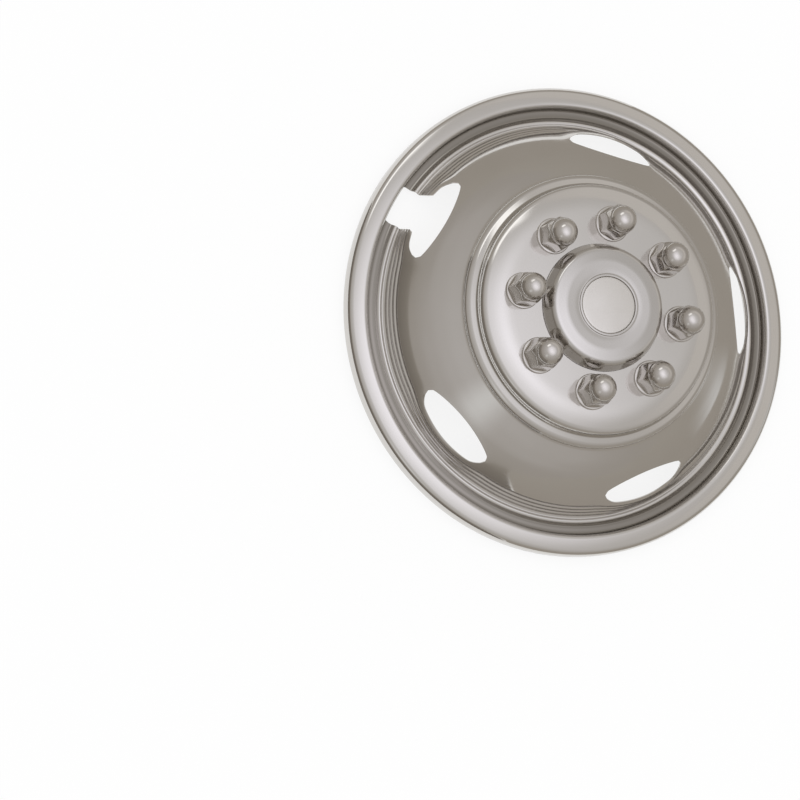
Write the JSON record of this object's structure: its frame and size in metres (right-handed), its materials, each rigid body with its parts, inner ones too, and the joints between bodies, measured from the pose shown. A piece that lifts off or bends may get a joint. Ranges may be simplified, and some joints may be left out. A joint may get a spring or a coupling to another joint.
{
  "type": "truck wheel simulator",
  "caption": "Pressed stainless wheel simulator for a truck wheel, with hand holes, a valve slot, a domed hub cover and hexagonal lug covers over the wheel nuts.",
  "frame": {"origin": "centre of the rim's turned-in edge, on the surface that the part lies on", "axes": "+Z along the wheel's axis, out of the face; +Y towards the valve slot"},
  "size_m": [0.46, 0.46, 0.1265],
  "materials": {
    "liner_stainless": "mirror-polished stainless steel",
    "hub_stainless": "mirror-polished stainless steel",
    "plate_aluminium": "satin anodised, plain",
    "cover_chrome": "bright chrome plate on pressed steel",
    "ring_spring_steel": "bare spring steel"
  },
  "bodies": {
    "root": {"wheel_liner": "liner_stainless", "hub_cover": "hub_stainless", "centre_plate": "plate_aluminium", "lug_cover_1": "cover_chrome", "lug_cover_2": "cover_chrome", "lug_cover_3": "cover_chrome", "lug_cover_4": "cover_chrome", "lug_cover_5": "cover_chrome", "lug_cover_6": "cover_chrome", "lug_cover_7": "cover_chrome", "lug_cover_8": "cover_chrome", "retaining_ring_1": "ring_spring_steel", "retaining_ring_2": "ring_spring_steel", "retaining_ring_3": "ring_spring_steel", "retaining_ring_4": "ring_spring_steel", "retaining_ring_5": "ring_spring_steel", "retaining_ring_6": "ring_spring_steel", "retaining_ring_7": "ring_spring_steel", "retaining_ring_8": "ring_spring_steel"}
  },
  "joints": []
}
